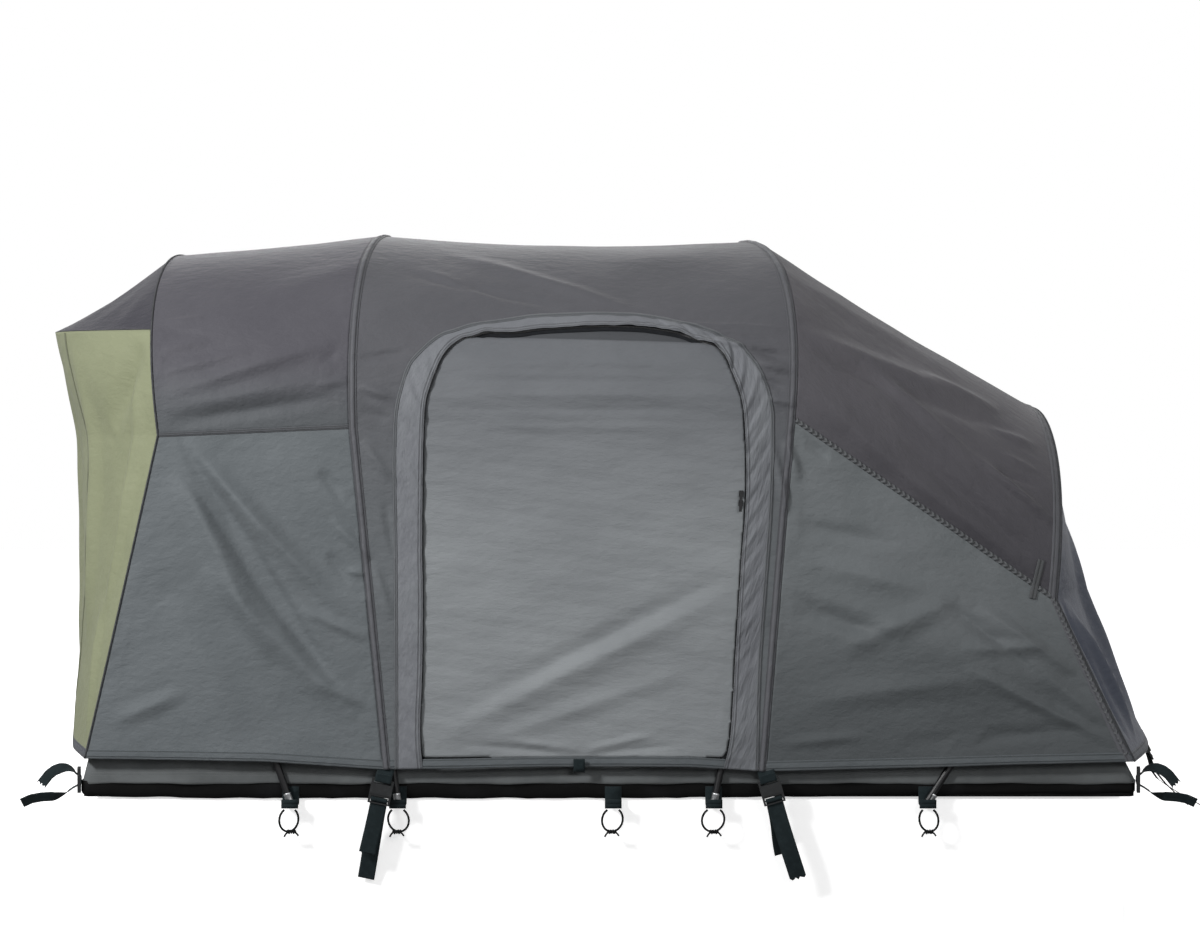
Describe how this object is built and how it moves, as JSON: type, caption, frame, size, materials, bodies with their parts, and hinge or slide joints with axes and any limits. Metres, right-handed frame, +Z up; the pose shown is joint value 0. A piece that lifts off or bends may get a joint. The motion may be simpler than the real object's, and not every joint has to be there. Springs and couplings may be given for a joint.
{
  "type": "roof top tent",
  "caption": "Roof top tent with a hooped fly sheet, an arched side door, a brow over the head end, an inner tent on a tub floor, pole-foot tabs and webbing straps",
  "frame": {"origin": "the middle of the tub floor's underside, where the roof bars carry it", "axes": "+Z up, +X to the foot end, -Y to the side with the door"},
  "size_m": [2.8608, 1.3777, 1.4933],
  "materials": {
    "roof_cloth": "coated woven cloth, satin, dark grey",
    "wall_cloth": "woven cloth, satin, mid grey",
    "door_cloth": "woven cloth, matte, lighter grey",
    "olive_cloth": "woven cloth, matte, olive green",
    "inner_cloth": "thin woven cloth, matte, dark grey",
    "tub_cloth": "heavy coated cloth, black",
    "webbing": "ribbed webbing, black",
    "pole": "black anodised tube",
    "buckle": "moulded black plastic",
    "zip": "black coil zip",
    "cord": "braided shock cord, black"
  },
  "bodies": {
    "tent": {"brow": "roof_cloth", "cord_loop_far_1": "cord", "cord_loop_far_2": "cord", "cord_loop_far_3": "cord", "cord_loop_far_4": "cord", "cord_loop_far_5": "cord", "cord_loop_near_1": "cord", "cord_loop_near_2": "cord", "cord_loop_near_3": "cord", "cord_loop_near_4": "cord", "cord_loop_near_5": "cord", "corner_lock_foot_far": "buckle", "corner_lock_foot_near": "buckle", "corner_lock_head_far": "buckle", "corner_lock_head_near": "buckle", "corner_strap_foot_far": "webbing", "corner_strap_foot_near": "webbing", "corner_strap_head_far": "webbing", "corner_strap_head_near": "webbing", "end_panel_foot": "wall_cloth", "end_panel_head": "olive_cloth", "hem_tab": "webbing", "inner_tent": "inner_cloth", "pole_brow": "pole", "pole_door_left": "pole", "pole_door_right": "pole", "pole_foot": "pole", "pole_head": "pole", "roof_foot": "roof_cloth", "roof_head": "roof_cloth", "roof_middle": "roof_cloth", "storm_flap": "wall_cloth", "strap_end_socket": "buckle", "strap_end_webbing": "webbing", "strap_far_left": "webbing", "strap_far_right": "webbing", "strap_left_socket": "buckle", "strap_left_webbing": "webbing", "strap_right_socket": "buckle", "strap_right_webbing": "webbing", "tub_floor": "tub_cloth", "wall_foot_far": "wall_cloth", "wall_foot_near": "wall_cloth", "wall_head_far": "wall_cloth", "wall_head_near": "wall_cloth", "wall_middle_far": "wall_cloth", "zip_track": "zip"},
    "door": {"door_panel": "door_cloth"},
    "inner_door": {"inner_door": "inner_cloth"},
    "slider_upper": {"zip_slider_upper": "zip"},
    "pull_upper": {"zip_pull_upper": "zip"},
    "slider_lower": {"zip_slider_lower": "zip"},
    "pull_lower": {"zip_pull_lower": "zip"},
    "plug_left": {"strap_left_plug": "buckle", "strap_left_tail": "webbing"},
    "plug_right": {"strap_right_plug": "buckle", "strap_right_tail": "webbing"},
    "plug_end": {"strap_end_plug": "buckle", "strap_end_tail": "webbing"}
  },
  "joints": [
    {"name": "door_fold", "type": "hinge", "parent": "tent", "child": "door", "pos_m": [0, -0.67437, 0.103], "axis": [1, 0, 0], "range_deg": [0, 120]},
    {"name": "inner_door_swing", "type": "hinge", "parent": "tent", "child": "inner_door", "pos_m": [-0.3792, -0.64306, 0.075], "axis": [0, 0.0856, 0.9963], "range_deg": [0, 90]},
    {"name": "slider_upper_run", "type": "slide", "parent": "tent", "child": "slider_upper", "axis": [0.0585, 0.0839, 0.9948], "range_m": [0, 0.07]},
    {"name": "slider_lower_run", "type": "slide", "parent": "tent", "child": "slider_lower", "axis": [0.0585, 0.0839, 0.9948], "range_m": [-0.55, 0]},
    {"name": "pull_upper_swing", "type": "hinge", "parent": "slider_upper", "child": "pull_upper", "pos_m": [0.30094, -0.63159, 0.69464], "axis": [-0.9983, 0.0049, 0.0583], "range_deg": [0, 110]},
    {"name": "pull_lower_swing", "type": "hinge", "parent": "slider_lower", "child": "pull_lower", "pos_m": [0.29965, -0.63345, 0.67264], "axis": [-0.9983, 0.0049, 0.0583], "range_deg": [0, 110]},
    {"name": "plug_left_release", "type": "slide", "parent": "tent", "child": "plug_left", "axis": [-0.2079, 0, -0.9781], "range_m": [0, 0.03]},
    {"name": "plug_right_release", "type": "slide", "parent": "tent", "child": "plug_right", "axis": [0.2756, 0, -0.9613], "range_m": [0, 0.03]},
    {"name": "plug_end_release", "type": "slide", "parent": "tent", "child": "plug_end", "axis": [0.454, 0, -0.891], "range_m": [0, 0.03]}
  ]
}
